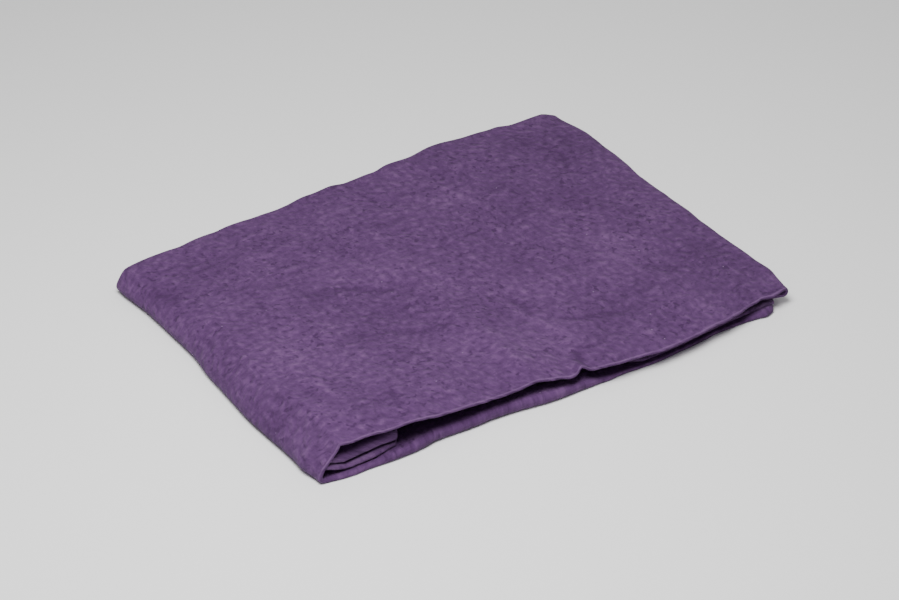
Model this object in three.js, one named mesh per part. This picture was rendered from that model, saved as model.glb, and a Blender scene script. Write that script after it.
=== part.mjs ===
// A linen tablecloth, cut 1500 by 2200 mm, folded flat for the shelf.
//
// It is folded three times along its length, which makes a strip of eight plies about 280 mm deep,
// and then twice across, which lays that strip down in four layers. The solid is that strip: one
// continuous band that runs from its free end at the bottom right, round the big fold on the left,
// over the top, back through the small fold on the right, round the inner fold on the left, and out
// to its other free end inside. The inner fold props the front left corner open.
//
// Millimetres, +Z up. +X runs along the long side, +Y towards the back, and the origin is the middle
// of the footprint, on the surface that the cloth lies on.

import * as THREE from "three";

const { lerp, smoothstep } = THREE.MathUtils;

// ---- Driving dimensions -------------------------------------------------------------------------

const LAYER = 3.0; // the eight plies of one layer, pressed
const EDGE_LAYER = 1.7; // what is left of it at the rounded front and back edges
const EDGE_ROUND = 1.6; // depth of that rounding
const GAP = 0.6; // air between two layers where they lie pressed

// The big fold on the left, low at its nose and sloping up to the top. Pairs are [front, back].
const FOLD_FOOT = [-172, -177]; // where it leaves the bottom
const FOLD_FOOT_PULL = [26, 8]; // how hard it runs on outwards from there
const FOLD_CREST = [-162, -161]; // where it meets the top
const FOLD_CREST_PULL = [10, 28];
const FOLD_CREST_DIP = [3.5, 1.5]; // how far it already dips as it leaves the top

// The small folds start to turn here.
const INNER_LEFT = [-167, -144]; // inside the big fold, [front, back]
const RIGHT = 186.5;
const SMALL_FOLD_PULL = 2.8; // how far they are pulled out

const BOTTOM_END = 179; // the free end under the pile
const INNER_END = 176; // the free end inside it

const CORNER_LIFT = 11; // how much the front left corner stands above the pressed pile
const BACK_LIFT = 1.2; // and the back left corner
const LIFT_FROM = -170; // the lift fades from here ...
const LIFT_TO = -46; // ... to here
const LIFT_SHARES = [0, 0.35, 0.5, 1]; // how far each level rises with it, from the bottom up
const SWELL = 0.4; // broad soft unevenness of the top

const TOP_STEPS = 34;
const FLAT_STEPS = 16;
const BIG_FOLD_STEPS = 14;
const SMALL_FOLD_STEPS = 6;
const DEPTH_STEPS = 18;

// The levels of the pile, from the bottom up.
const BOTTOM = 0;
const INNER_LOWER = 1;
const INNER_UPPER = 2;
const TOP = 3;

// ---- The plan of the pile -----------------------------------------------------------------------

// Points that each level's front edge eases through, as [x, y].
const FRONT_EDGES = [
  [[-186, -133], [-155, -136], [-113, -138], [-88, -134.5], [-45, -136], [10, -142], [78, -144],
    [136, -141], [154, -143], [168, -142], [186, -137]],
  [[-180, -130], [-135, -131], [-118, -121], [0, -125], [60, -136], [150, -137], [183, -133]],
  [[-180, -130], [-132, -131], [-115, -119], [0, -123], [60, -137], [150, -136], [189, -134]],
  [[-186, -132], [-155, -136], [-40, -138], [-16, -140], [6, -136], [15, -141], [51, -147], [91, -147.5],
    [134, -144], [163, -138], [174, -142], [189, -140]],
];
// The same for the back edges.
const BACK_EDGES = [
  [[-186, 128], [-150, 130], [0, 139], [110, 147], [189, 138]],
  [[-180, 121], [-150, 127], [0, 139], [110, 144], [189, 140]],
  [[-180, 121], [-150, 127], [0, 138], [110, 146], [189, 140]],
  [[-186, 125], [-170, 131], [-107, 135], [-5, 142], [20, 142], [50, 148], [103, 150], [152, 146],
    [180, 146], [192, 135]],
];
// How far the fold lines stray from straight, as [share of the depth, x].
const LEFT_STRAY = [[0, 1], [0.3, -1.5], [0.62, 2], [1, -3]];
const RIGHT_STRAY = [[0, -5], [0.2, -1.5], [0.45, 0], [0.62, 2], [0.85, 3.5], [1, 0]];

/** The value at `at` of a list of points that eases from each to the next. */
function through(points, at) {
  let value = points[0][1];
  for (let i = 1; i < points.length; i++) {
    const [from, before] = points[i - 1];
    const [to, after] = points[i];
    value += (after - before) * smoothstep(at, from, to);
  }
  return value;
}

/** How far a point at x strays in x, for a share of the depth from front to back. */
function stray(x, share) {
  return lerp(through(LEFT_STRAY, share), through(RIGHT_STRAY, share), smoothstep(x, FOLD_FOOT[0], RIGHT));
}

// ---- The heights of the levels ------------------------------------------------------------------

/** How far the top stands above the pressed pile, over the inner fold on the left. */
function lift(x, share) {
  const atLeft = lerp(CORNER_LIFT, BACK_LIFT, smoothstep(share, 0, 1));
  return atLeft * (1 - smoothstep(x, LIFT_FROM, LIFT_TO));
}

/** The height of the middle of a layer. */
function heightOf(level, x, share) {
  const pressed = LAYER / 2 + level * (LAYER + GAP);
  const swell = SWELL * (1 + Math.sin(x / 58 + 2.6 * share) * Math.sin(1.2 + 5.4 * share - x / 150));
  return pressed + LIFT_SHARES[level] * lift(x, share) + (level / TOP) * swell;
}

// ---- The route of the band ----------------------------------------------------------------------

/** A value that changes from front to back, as a function of the share of the depth. */
const varying = ([front, back]) => (share) => lerp(front, back, smoothstep(share, 0.2, 1));
const steady = (value) => () => value;

/** A straight leg of the band at one level, between two places in x that follow the depth. */
function flat(level, from, to, steps) {
  return {
    steps,
    place(t, share) {
      const x = lerp(from(share), to(share), t);
      const [front, back] = [FRONT_EDGES, BACK_EDGES].map((edges) => through(edges[level], x));
      return { x, z: heightOf(level, x, share), front, back };
    },
  };
}

/** A fold of the band between two ends, each with a level, an x, a pull to the left and a dip. */
function fold(from, to, steps) {
  return {
    steps,
    place(t, share) {
      const [a, b] = [from, to].map(({ level, x, pull, dip }) => {
        const end = new THREE.Vector2(x(share), heightOf(level, x(share), share));
        return { end, handle: end.clone().add(new THREE.Vector2(-pull(share), -dip(share))) };
      });
      const { x, y: z } = new THREE.CubicBezierCurve(a.end, a.handle, b.handle, b.end).getPoint(t);
      const [front, back] = [FRONT_EDGES, BACK_EDGES].map((edges) =>
        lerp(through(edges[from.level], x), through(edges[to.level], x), smoothstep(t, 0, 1)));
      return { x, z, front, back };
    },
  };
}

const footX = varying(FOLD_FOOT);
const crestX = varying(FOLD_CREST);
const innerX = varying(INNER_LEFT);
const rightX = steady(RIGHT);
const foot = { level: BOTTOM, x: footX, pull: varying(FOLD_FOOT_PULL), dip: steady(0) };
const crest = { level: TOP, x: crestX, pull: varying(FOLD_CREST_PULL), dip: varying(FOLD_CREST_DIP) };

/** A tight fold at x, pulled to the left (a negative pull is to the right). */
function smallFold(fromLevel, toLevel, x, pull) {
  const endAt = (level) => ({ level, x, pull: steady(pull), dip: steady(0) });
  return fold(endAt(fromLevel), endAt(toLevel), SMALL_FOLD_STEPS);
}

const ROUTE = [
  flat(BOTTOM, steady(BOTTOM_END), footX, FLAT_STEPS),
  fold(foot, crest, BIG_FOLD_STEPS),
  flat(TOP, crestX, rightX, TOP_STEPS),
  smallFold(TOP, INNER_UPPER, rightX, -SMALL_FOLD_PULL),
  flat(INNER_UPPER, rightX, innerX, FLAT_STEPS),
  smallFold(INNER_UPPER, INNER_LOWER, innerX, SMALL_FOLD_PULL),
  flat(INNER_LOWER, innerX, steady(INNER_END), FLAT_STEPS),
];
const ROUTE_STEPS = ROUTE.reduce((sum, leg) => sum + leg.steps, 0);

/** Where the middle of the band is at a station along the route, for a row from front to back. */
function middleAt(station, row) {
  let within = station;
  let index = 0;
  while (within > ROUTE[index].steps) {
    within -= ROUTE[index].steps;
    index += 1;
  }
  const leg = ROUTE[index];
  const share = row / DEPTH_STEPS;
  const { x, z, front, back } = leg.place(within / leg.steps, share);
  const inner = lerp(front + EDGE_ROUND, back - EDGE_ROUND, (row - 1) / (DEPTH_STEPS - 2));
  const y = row === 0 ? front : row === DEPTH_STEPS ? back : inner;
  return new THREE.Vector3(x + stray(x, share), y, z);
}

/** The direction that the band's outer face looks in at a station, square to the route and to Y. */
function outwardAt(station, row) {
  const here = middleAt(station, row);
  const before = middleAt(Math.max(station - 1, 0), row);
  const after = middleAt(Math.min(station + 1, ROUTE_STEPS), row);
  const arriving = here.clone().sub(before).setY(0).normalize();
  const leaving = after.clone().sub(here).setY(0).normalize();
  const along = arriving.add(leaving).normalize();
  return new THREE.Vector3(-along.z, 0, along.x);
}

// ---- The folded strip ---------------------------------------------------------------------------

/** The strip as a flat blank of cells, with each of its points then laid where the folds put it. */
function foldedStrip() {
  const blank = new THREE.BoxGeometry(ROUTE_STEPS, DEPTH_STEPS, 1, ROUTE_STEPS, DEPTH_STEPS, 1);
  const position = blank.getAttribute("position");
  const point = new THREE.Vector3();
  for (let i = 0; i < position.count; i++) {
    point.fromBufferAttribute(position, i);
    const station = Math.round(point.x + ROUTE_STEPS / 2);
    const row = Math.round(point.y + DEPTH_STEPS / 2);
    const thickness = row === 0 || row === DEPTH_STEPS ? EDGE_LAYER : LAYER;
    const laid = middleAt(station, row).addScaledVector(outwardAt(station, row), point.z * thickness);
    position.setXYZ(i, laid.x, laid.y, laid.z);
  }
  return blank;
}

const strip = foldedStrip();
strip.computeBoundingBox();
const middle = strip.boundingBox.getCenter(new THREE.Vector3());
strip.translate(-middle.x, -middle.y, -strip.boundingBox.min.z);
strip.computeVertexNormals();

const linen = new THREE.MeshStandardMaterial({ color: 0x6b4c7c, roughness: 0.95, metalness: 0 });

const tablecloth = new THREE.Mesh(strip, linen);
tablecloth.name = "tablecloth";

const part = new THREE.Group();
part.add(tablecloth);

export default part;
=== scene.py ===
"""A washed linen tablecloth, folded flat for the shelf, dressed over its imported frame.

The cloth is one continuous sheet. It is folded three times along its length, into a strip of eight
plies, and that strip is folded twice across, into a pile of four layers. Sizes in the classes are in
millimetres; the finished pieces are in metres, in the frame's own axes.
"""

import logging
import math
from dataclasses import dataclass, field
from enum import IntEnum

import bpy
import numpy as np
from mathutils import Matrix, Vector
from numpy.typing import NDArray


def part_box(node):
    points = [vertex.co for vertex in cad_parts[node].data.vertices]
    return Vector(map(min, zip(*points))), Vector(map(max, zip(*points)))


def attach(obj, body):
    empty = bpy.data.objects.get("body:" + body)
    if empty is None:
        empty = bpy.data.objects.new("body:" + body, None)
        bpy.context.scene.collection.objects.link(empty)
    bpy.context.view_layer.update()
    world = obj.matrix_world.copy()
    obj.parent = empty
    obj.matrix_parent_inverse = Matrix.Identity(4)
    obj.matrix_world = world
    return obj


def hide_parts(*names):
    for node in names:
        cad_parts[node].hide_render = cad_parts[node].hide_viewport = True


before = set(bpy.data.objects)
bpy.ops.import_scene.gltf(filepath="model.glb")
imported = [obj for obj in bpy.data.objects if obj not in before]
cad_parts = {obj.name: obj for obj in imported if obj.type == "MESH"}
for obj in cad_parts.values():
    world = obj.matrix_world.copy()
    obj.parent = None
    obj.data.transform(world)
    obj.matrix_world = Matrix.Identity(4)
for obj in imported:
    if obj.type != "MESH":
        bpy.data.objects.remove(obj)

LOG = logging.getLogger("tablecloth")
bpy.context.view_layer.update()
MM = 0.001
NODE = "tablecloth"
# The attribute that carries the top's crease heights; the colour uses it for painted shade in crease troughs
# and painted light on crease ridges.
CREASE_SHADE_ATTRIBUTE = "creased"

Grid = NDArray[np.float64]
Points = tuple[tuple[float, float], ...]


# ---- Smooth steps and unevenness ------------------------------------------------------------------


def ease(value: Grid | float, start: float, end: float) -> Grid:
    """0 before start, 1 after end, with a smooth rise between them.

    Args:
        value: Where to read the step.
        start: Where it begins to rise.
        end: Where it is complete.

    Returns:
        The height of the step, in the shape of value.
    """
    t = np.clip((np.asarray(value, float) - start) / (end - start), 0.0, 1.0)
    return t * t * (3.0 - 2.0 * t)


def mix(a: Grid | float, b: Grid | float, t: Grid | float) -> Grid:
    """The value a share t of the way from a to b."""
    return a + (b - a) * t


def bell(value: Grid, middle: float, width: float) -> Grid:
    """A smooth bump of height 1 at middle, that is 0.37 high at width from it."""
    return np.exp(-(((value - middle) / width) ** 2))


def through(points: Points, at: Grid | float) -> Grid:
    """A line that eases from each point to the next.

    Args:
        points: The points, as (position, value), in order of position.
        at: Where to read the line.

    Returns:
        The values, in the shape of at.
    """
    value = np.zeros_like(np.asarray(at, float)) + points[0][1]
    for (start, before), (end, after) in zip(points, points[1:]):
        value = value + (after - before) * ease(at, start, end)
    return value


@dataclass(frozen=True)
class Unevenness:
    """Smooth random relief over the plan, the same on every run.

    Attributes:
        seed: Picks the relief.
        lump: How large its lumps are along x and y, in mm.
        turn: How far the lumps are turned in the plan, in degrees.
        lattice: How many lumps go by, along x and y, before the relief repeats.
        gain: Brings the relief to about -1 to 1.
    """

    seed: int
    lump: tuple[float, float]
    turn: float = 0.0
    lattice: int = 256
    gain: float = 1.6

    def at(self, x: Grid, y: Grid) -> Grid:
        """The relief at points of the plan, from about -1 to 1.

        Args:
            x: The points' x, in mm.
            y: Their y, in mm.

        Returns:
            The relief, in the shape of x.
        """
        angles = np.random.default_rng(self.seed).uniform(0, 2 * math.pi, (self.lattice, self.lattice))
        c, s = math.cos(math.radians(self.turn)), math.sin(math.radians(self.turn))
        a = (x * c + y * s) / self.lump[0]
        b = (y * c - x * s) / self.lump[1]
        i, j = np.floor(a).astype(int), np.floor(b).astype(int)
        fa, fb = a - i, b - j
        wa, wb = (f * f * f * (f * (f * 6 - 15) + 10) for f in (fa, fb))

        def corner(di: int, dj: int) -> Grid:
            """The pull of one lattice corner."""
            angle = angles[(i + di) % self.lattice, (j + dj) % self.lattice]
            return np.cos(angle) * (fa - di) + np.sin(angle) * (fb - dj)

        low = mix(corner(0, 0), corner(1, 0), wa)
        high = mix(corner(0, 1), corner(1, 1), wa)
        return mix(low, high, wb) * self.gain


@dataclass(frozen=True)
class Crease:
    """A soft crease in the top of the pile, along a line in the plan.

    Attributes:
        line: The points it runs through, as (x, y) in mm.
        height: How high it stands; a trough is negative.
        width: How far its sides reach, in mm.
        ends: How far into its fade the crease starts, and how much of the fade it runs through.
    """

    line: Points
    height: float
    width: float
    ends: tuple[float, float] = (0.07, 0.86)

    def relief(self, x: Grid, y: Grid) -> Grid:
        """How high the crease stands at points of the plan, fading towards its ends.

        Args:
            x: The points' x, in mm.
            y: Their y, in mm.

        Returns:
            The height, in mm, in the shape of x.
        """
        nearest = np.full(x.shape, np.inf)
        along = np.zeros(x.shape)
        lengths = [math.dist(p, q) for p, q in zip(self.line, self.line[1:])]
        total, done = sum(lengths), 0.0
        for (ax, ay), (bx, by), length in zip(self.line, self.line[1:], lengths):
            ux, uy = (bx - ax) / length, (by - ay) / length
            t = np.clip((x - ax) * ux + (y - ay) * uy, 0.0, length)
            distance = np.hypot(x - ax - t * ux, y - ay - t * uy)
            closer = distance < nearest
            nearest = np.where(closer, distance, nearest)
            along = np.where(closer, (done + t) / total, along)
            done += length
        fade = np.sin(math.pi * np.clip(along * self.ends[1] + self.ends[0], 0.0, 1.0))
        return self.height * fade * np.exp(-((nearest / self.width) ** 2))


# ---- The shape of the pile ------------------------------------------------------------------------


class Level(IntEnum):
    """The layers of the pile, from the bottom up."""

    BOTTOM = 0
    INNER_LOWER = 1
    INNER_UPPER = 2
    TOP = 3


@dataclass(frozen=True)
class PileShape:
    """Where the layers of the pile lie, in plan and in height, in mm.

    A place is given by its x and by its share of the depth, 0 at the front and 1 at the back.
    """

    layer: float = 3.1
    gap: float = 0.45
    big_fold_foot: tuple[float, float] = (-170.0, -176.0)
    big_fold_foot_pull: tuple[float, float] = (24.0, 9.0)
    big_fold_crest: tuple[float, float] = (-163.5, -161.0)
    big_fold_crest_pull: tuple[float, float] = (8.5, 28.0)
    big_fold_crest_dip: tuple[float, float] = (9.0, 1.5)
    big_fold_drawn_in: float = 5.5
    drawn_in_reach: float = 0.07
    inner_left: tuple[float, float] = (-170.0, -147.0)
    right: float = 186.5
    small_fold_pull: float = 2.8
    bottom_end: float = 177.0
    inner_end: float = 178.5
    fronts: tuple[Points, ...] = (
        ((-186, -133.5), (-150, -137), (-112, -138.3), (-104, -137.3), (-96, -135), (-60, -136), (10, -142.5),
         (40, -143.5), (78, -146), (104, -144), (136, -141.5), (154, -141.5), (161, -143), (168, -144.5),
         (173, -143.5), (179, -138.5)),
        ((-180, -133), (-122, -133.5), (-110, -118), (0, -124), (40, -132), (66, -143), (100, -142),
         (136, -139), (152, -137), (166, -139.5), (176, -140), (181, -137.5)),
        ((-180, -131.5), (-122, -131), (-110, -114), (0, -122), (60, -129), (120, -131), (150, -134),
         (168, -134), (180, -139), (189, -140)),
        ((-186, -133), (-155, -136), (-110, -137), (-45, -138.5), (-18, -139), (6, -143), (20, -144.5),
         (45, -148.5), (74, -151), (92, -151), (124, -148), (140, -146), (160, -141.5), (167, -139.5),
         (176, -141.5), (189, -140)),
    )
    backs: tuple[Points, ...] = (
        ((-186, 123), (-150, 130), (0, 139), (110, 147), (189, 138)),
        ((-180, 121), (-150, 127), (0, 139), (110, 144), (189, 139)),
        ((-180, 121), (-150, 127), (0, 138), (110, 146), (189, 140)),
        ((-186, 122), (-172, 129), (-134, 130.5), (-104, 135), (-84, 136.5), (-52, 136.5), (-24, 141),
         (-4, 142.5), (8, 140.5), (32, 142), (46, 145), (60, 144.5), (88, 149.5), (112, 147.5), (140, 147),
         (154, 143), (180, 143), (192, 134)),
    )
    left_stray: Points = ((0, -1.6), (0.1, 0.4), (0.3, -1.7), (0.48, 0.4), (0.64, 4.3), (0.82, 3.7), (1, 0.2))
    right_stray: Points = ((0, -5), (0.1, -0.2), (0.34, -0.2), (0.45, 0.9), (0.62, 2.2), (0.75, 5.0),
                           (0.87, 6.2), (1, 2.4))
    lofts: tuple[Points, ...] = (
        ((-176, 0.4), (-160, 0.4), (-140, 1.0), (-122, 2.6), (-58, 0.9), (10, 0.0), (60, -0.4), (150, -0.4),
         (172, 0.0)),
        ((-176, 0.2), (-160, 0.7), (-136, 1.2), (-119, -1.4), (-96, 0.5), (10, 0.0), (60, -0.5), (150, -0.5),
         (172, 0.0)),
        ((-173, 0.4), (-158, 5.2), (-139, 4.6), (-121, 5.8), (-108, 3.6), (-58, 1.0), (10, 0.0)),
    )
    curl: Points = ((-176, 5.4), (-156, 0.0))
    top_rise: Points = ((-170, 13.4), (-146, 12.5), (-113, 9.6), (-83, 6.6), (-53, 4.0), (-31, 3.6),
                        (-19, 5.6), (-6, 3.6), (7, 2.0), (20, 1.4), (60, 0.5), (190, 0.2))
    rise_behind: float = 0.55
    rise_behind_from: tuple[float, float] = (0.12, 0.45)
    rise_behind_along: tuple[float, float] = (-110, -50)
    top_thinned: float = 0.4
    top_thinned_along: tuple[float, float] = (-150, -60)
    top_rim: float = 1.25
    top_rim_reach: tuple[float, float] = (2.0, 12.0)
    bulge: Points = ((-150, 0.0), (-112, 0.6), (-96, 3.4), (-40, 4.8), (5, 4.4), (40, 1.0), (60, 0.0),
                     (148, 0.0), (166, 0.5), (180, 0.5))
    bulge_reach: tuple[float, float] = (7.0, 24.0)
    rise_left_at_back: float = 0.1
    pressed: float = 0.9
    edge_left_open: float = 0.12
    end_left_open: tuple[float, float] = (140.0, 174.0)
    changes_over: tuple[float, float] = (0.2, 1.0)

    def fade(self, share: Grid) -> Grid:
        """How much of the loft at the front is left at a share of the depth."""
        return mix(1.0, self.rise_left_at_back, ease(share, 0.0, 1.0))

    def thickness(self, level: Level, x: Grid, share: Grid) -> Grid:
        """How thick the eight plies of a layer lie.

        Args:
            level: The layer.
            x: Where along it.
            share: The share of the depth.

        Returns:
            The thickness, in mm.
        """
        if level == Level.TOP:
            return self.layer - self.top_thinned * (1 - ease(x, *self.top_thinned_along)) * self.fade(share)
        return self.layer + through(self.lofts[level], x) * self.fade(share)

    def front_bulge(self, x: Grid, depth: Grid) -> Grid:
        """How much thicker the bottom layer's front edge is puffed, by its distance from that edge."""
        return through(self.bulge, x) * (1 - ease(depth, *self.bulge_reach))

    def rise(self, x: Grid, share: Grid) -> Grid:
        """How far the top stands above the pressed pile."""
        behind = ease(share, *self.rise_behind_from) * ease(x, *self.rise_behind_along)
        return through(self.top_rise, x) * self.fade(share) * mix(1.0, self.rise_behind, behind)

    def gap_at(self, x: Grid, share: Grid) -> Grid:
        """The gap between two layers, which is pressed shut away from the edges of the pile."""
        inside = ease(share, 0.0, self.edge_left_open) * ease(1 - share, 0.0, self.edge_left_open)
        return self.gap * (1 - self.pressed * inside * (1 - ease(x, *self.end_left_open)))

    def height(self, level: Level, x: Grid, share: Grid) -> Grid:
        """The height of the middle of a layer.

        Args:
            level: The layer.
            x: Where along it.
            share: The share of the depth.

        Returns:
            The height, in mm.
        """
        if level == Level.TOP:
            return (self.layer + self.gap) * level + self.layer / 2 + self.rise(x, share)
        below = sum(self.thickness(Level(i), x, share) + self.gap_at(x, share) for i in range(level))
        curl = through(self.curl, x) * self.fade(share) if level != Level.BOTTOM else 0.0
        return below + curl + self.thickness(level, x, share) / 2

    def stray(self, x: Grid, share: Grid) -> Grid:
        """How far the fold lines at the left and the right stray in x."""
        to_right = ease(x, self.big_fold_foot[0], self.right)
        return mix(through(self.left_stray, share), through(self.right_stray, share), to_right)

    def varying(self, pair: tuple[float, float], share: Grid) -> Grid:
        """A value that changes from front to back."""
        return mix(pair[0], pair[1], ease(share, *self.changes_over))


@dataclass
class Laid:
    """Where the middle of the strip lies, at stations along it (rows) and across it (columns).

    Attributes:
        x: Place along the pile.
        z: Height.
        front: The y of the front edge.
        back: The y of the back edge.
        thickness: How thick the strip lies.
        is_bottom: 1 where the strip lies on the surface, 0 where it doesn't.
        is_top: 1 where the strip is the top of the pile, 0 where it isn't.
    """

    x: Grid
    z: Grid
    front: Grid
    back: Grid
    thickness: Grid
    is_bottom: Grid
    is_top: Grid

    @staticmethod
    def joined(legs: list["Laid"]) -> "Laid":
        """The stations of several legs, one leg after the other."""
        names = ("x", "z", "front", "back", "thickness", "is_bottom", "is_top")
        return Laid(*(np.concatenate([getattr(leg, name) for leg in legs]) for name in names))


@dataclass(frozen=True)
class FoldEnd:
    """One end of a crosswise fold of the strip.

    Attributes:
        level: The layer that the fold runs into.
        x: Where it starts, from front to back.
        pull: How hard it runs on outwards, to the left, from front to back.
        dip: How far it already dips, from front to back.
    """

    level: Level
    x: tuple[float, float]
    pull: tuple[float, float]
    dip: tuple[float, float] = (0.0, 0.0)


@dataclass(frozen=True)
class Route:
    """The way the strip runs through the pile, from its free end below to its free end inside."""

    shape: PileShape
    share: Grid
    bottom_step: float = 8.5
    top_step: float = 3.0
    inner_step: float = 19.4
    tongue_reach: float = 66.0
    tongue_step: float = 5.5
    hem_stations: tuple[float, ...] = (0.0, 2.5, 5.0, 8.0, 9.5, 11.0, 12.5, 14.5, 18.0)
    tuck_at: tuple[float, float] = (-26.0, 26.0)
    tuck_step: float = 1.9
    big_fold_steps: int = 20
    big_fold_thins: tuple[float, float] = (0.05, 0.75)
    small_fold_steps: int = 7

    def leg(self, level: Level, start: Grid, end: Grid, stops: Grid) -> Laid:
        """A straight leg at one level.

        Args:
            level: The layer that the leg is.
            start: Where it starts, for each share.
            end: Where it ends, for each share.
            stops: The stations on it, as shares of its length.

        Returns:
            The leg as laid.
        """
        x = mix(start, end, stops[:, None])
        share = np.broadcast_to(self.share, x.shape)
        level_is = [np.full(x.shape, float(level == wanted)) for wanted in (Level.BOTTOM, Level.TOP)]
        return Laid(x, self.shape.height(level, x, share), through(self.shape.fronts[level], x),
                    through(self.shape.backs[level], x), self.shape.thickness(level, x, share), *level_is)

    def fold(self, start: FoldEnd, end: FoldEnd, steps: int, thins: tuple[float, float] = (0.0, 1.0),
             drawn_in: float = 0.0) -> Laid:
        """A crosswise fold between two levels.

        Args:
            start: Where the strip runs into the fold.
            end: Where it runs out of it.
            steps: How many stations it has, its ends left out.
            thins: The part of the turn over which its thickness and edges change.
            drawn_in: How far its front edge is drawn in to the right.

        Returns:
            The fold as laid.
        """
        t = np.linspace(0.0, 1.0, steps + 2)[1:-1, None]
        ends = []
        for fold_end in (start, end):
            x = self.shape.varying(fold_end.x, self.share)[None, :]
            z = self.shape.height(fold_end.level, x, self.share[None, :])
            pull = self.shape.varying(fold_end.pull, self.share)[None, :]
            dip = self.shape.varying(fold_end.dip, self.share)[None, :]
            ends.append((x, z, x - pull, z - dip))
        weights = ((1 - t) ** 3, 3 * (1 - t) ** 2 * t, 3 * (1 - t) * t * t, t**3)
        (ax, az, hax, haz), (bx, bz, hbx, hbz) = ends
        x = sum(w * v for w, v in zip(weights, (ax, hax, hbx, bx)))
        x = x + drawn_in * np.sin(math.pi * t) * (1 - ease(self.share, 0.0, self.shape.drawn_in_reach))
        z = sum(w * v for w, v in zip(weights, (az, haz, hbz, bz)))
        turned = ease(t, *thins)
        share = np.broadcast_to(self.share, x.shape)

        def between(value: Grid, other: Grid) -> Grid:
            """A value on its way round the fold."""
            return np.broadcast_to(mix(value, other, turned), x.shape)

        fronts = [through(self.shape.fronts[e.level], x) for e in (start, end)]
        backs = [through(self.shape.backs[e.level], x) for e in (start, end)]
        thick = [self.shape.thickness(e.level, x, share) for e in (start, end)]
        bottom = [float(e.level == Level.BOTTOM) for e in (start, end)]
        top = [float(e.level == Level.TOP) for e in (start, end)]
        return Laid(x, z, between(*fronts), between(*backs), between(*thick), between(*bottom), between(*top))

    def inner_stops(self, length: float) -> Grid:
        """The stations along an inner layer from its fold, closer together where it shows as a tongue."""
        tongue = np.arange(0.0, self.tongue_reach, self.tongue_step)
        count = round((length - self.tongue_reach) / self.inner_step) + 1
        rest = np.linspace(self.tongue_reach, length, count)
        return np.concatenate([tongue, rest]) / length

    def bottom_stops(self, length: float) -> Grid:
        """The stations along the bottom, with those of its hem first."""
        hem = np.array(self.hem_stations)
        rest = np.linspace(hem[-1], length, round((length - hem[-1]) / self.bottom_step) + 1)
        return np.concatenate([hem[:-1], rest]) / length

    def top_stops(self, start: float, end: float) -> Grid:
        """The stations along the top, closer together by the tuck in its front edge."""
        low, high = self.tuck_at
        parts = [np.arange(start, low, self.top_step), np.arange(low, high, self.tuck_step),
                 np.linspace(high, end, round((end - high) / self.top_step) + 1)]
        return (np.concatenate(parts) - start) / (end - start)

    def laid(self) -> Laid:
        """The whole strip as it lies in the pile."""
        s = self.shape
        length = s.right - s.big_fold_foot[0]

        def at(pair: tuple[float, float]) -> Grid:
            """A place that changes from front to back, for each share."""
            return s.varying(pair, self.share)[None, :]

        right, bottom_end, inner_end = (at((v, v)) for v in (s.right, s.bottom_end, s.inner_end))
        foot = FoldEnd(Level.BOTTOM, s.big_fold_foot, s.big_fold_foot_pull)
        crest = FoldEnd(Level.TOP, s.big_fold_crest, s.big_fold_crest_pull, s.big_fold_crest_dip)
        tight = (s.small_fold_pull, s.small_fold_pull)
        slack = (-s.small_fold_pull, -s.small_fold_pull)
        sides = (s.right, s.right)
        return Laid.joined([
            self.leg(Level.BOTTOM, bottom_end, at(s.big_fold_foot), self.bottom_stops(length)),
            self.fold(foot, crest, self.big_fold_steps, self.big_fold_thins, s.big_fold_drawn_in),
            self.leg(Level.TOP, at(s.big_fold_crest), right, self.top_stops(s.big_fold_crest[0], s.right)),
            self.fold(FoldEnd(Level.TOP, sides, slack), FoldEnd(Level.INNER_UPPER, sides, slack),
                      self.small_fold_steps),
            self.leg(Level.INNER_UPPER, right, at(s.inner_left), 1 - self.inner_stops(length)[::-1]),
            self.fold(FoldEnd(Level.INNER_UPPER, s.inner_left, tight),
                      FoldEnd(Level.INNER_LOWER, s.inner_left, tight), self.small_fold_steps),
            self.leg(Level.INNER_LOWER, at(s.inner_left), inner_end, self.inner_stops(length)),
        ])


# ---- The eight plies of the strip -----------------------------------------------------------------


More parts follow.
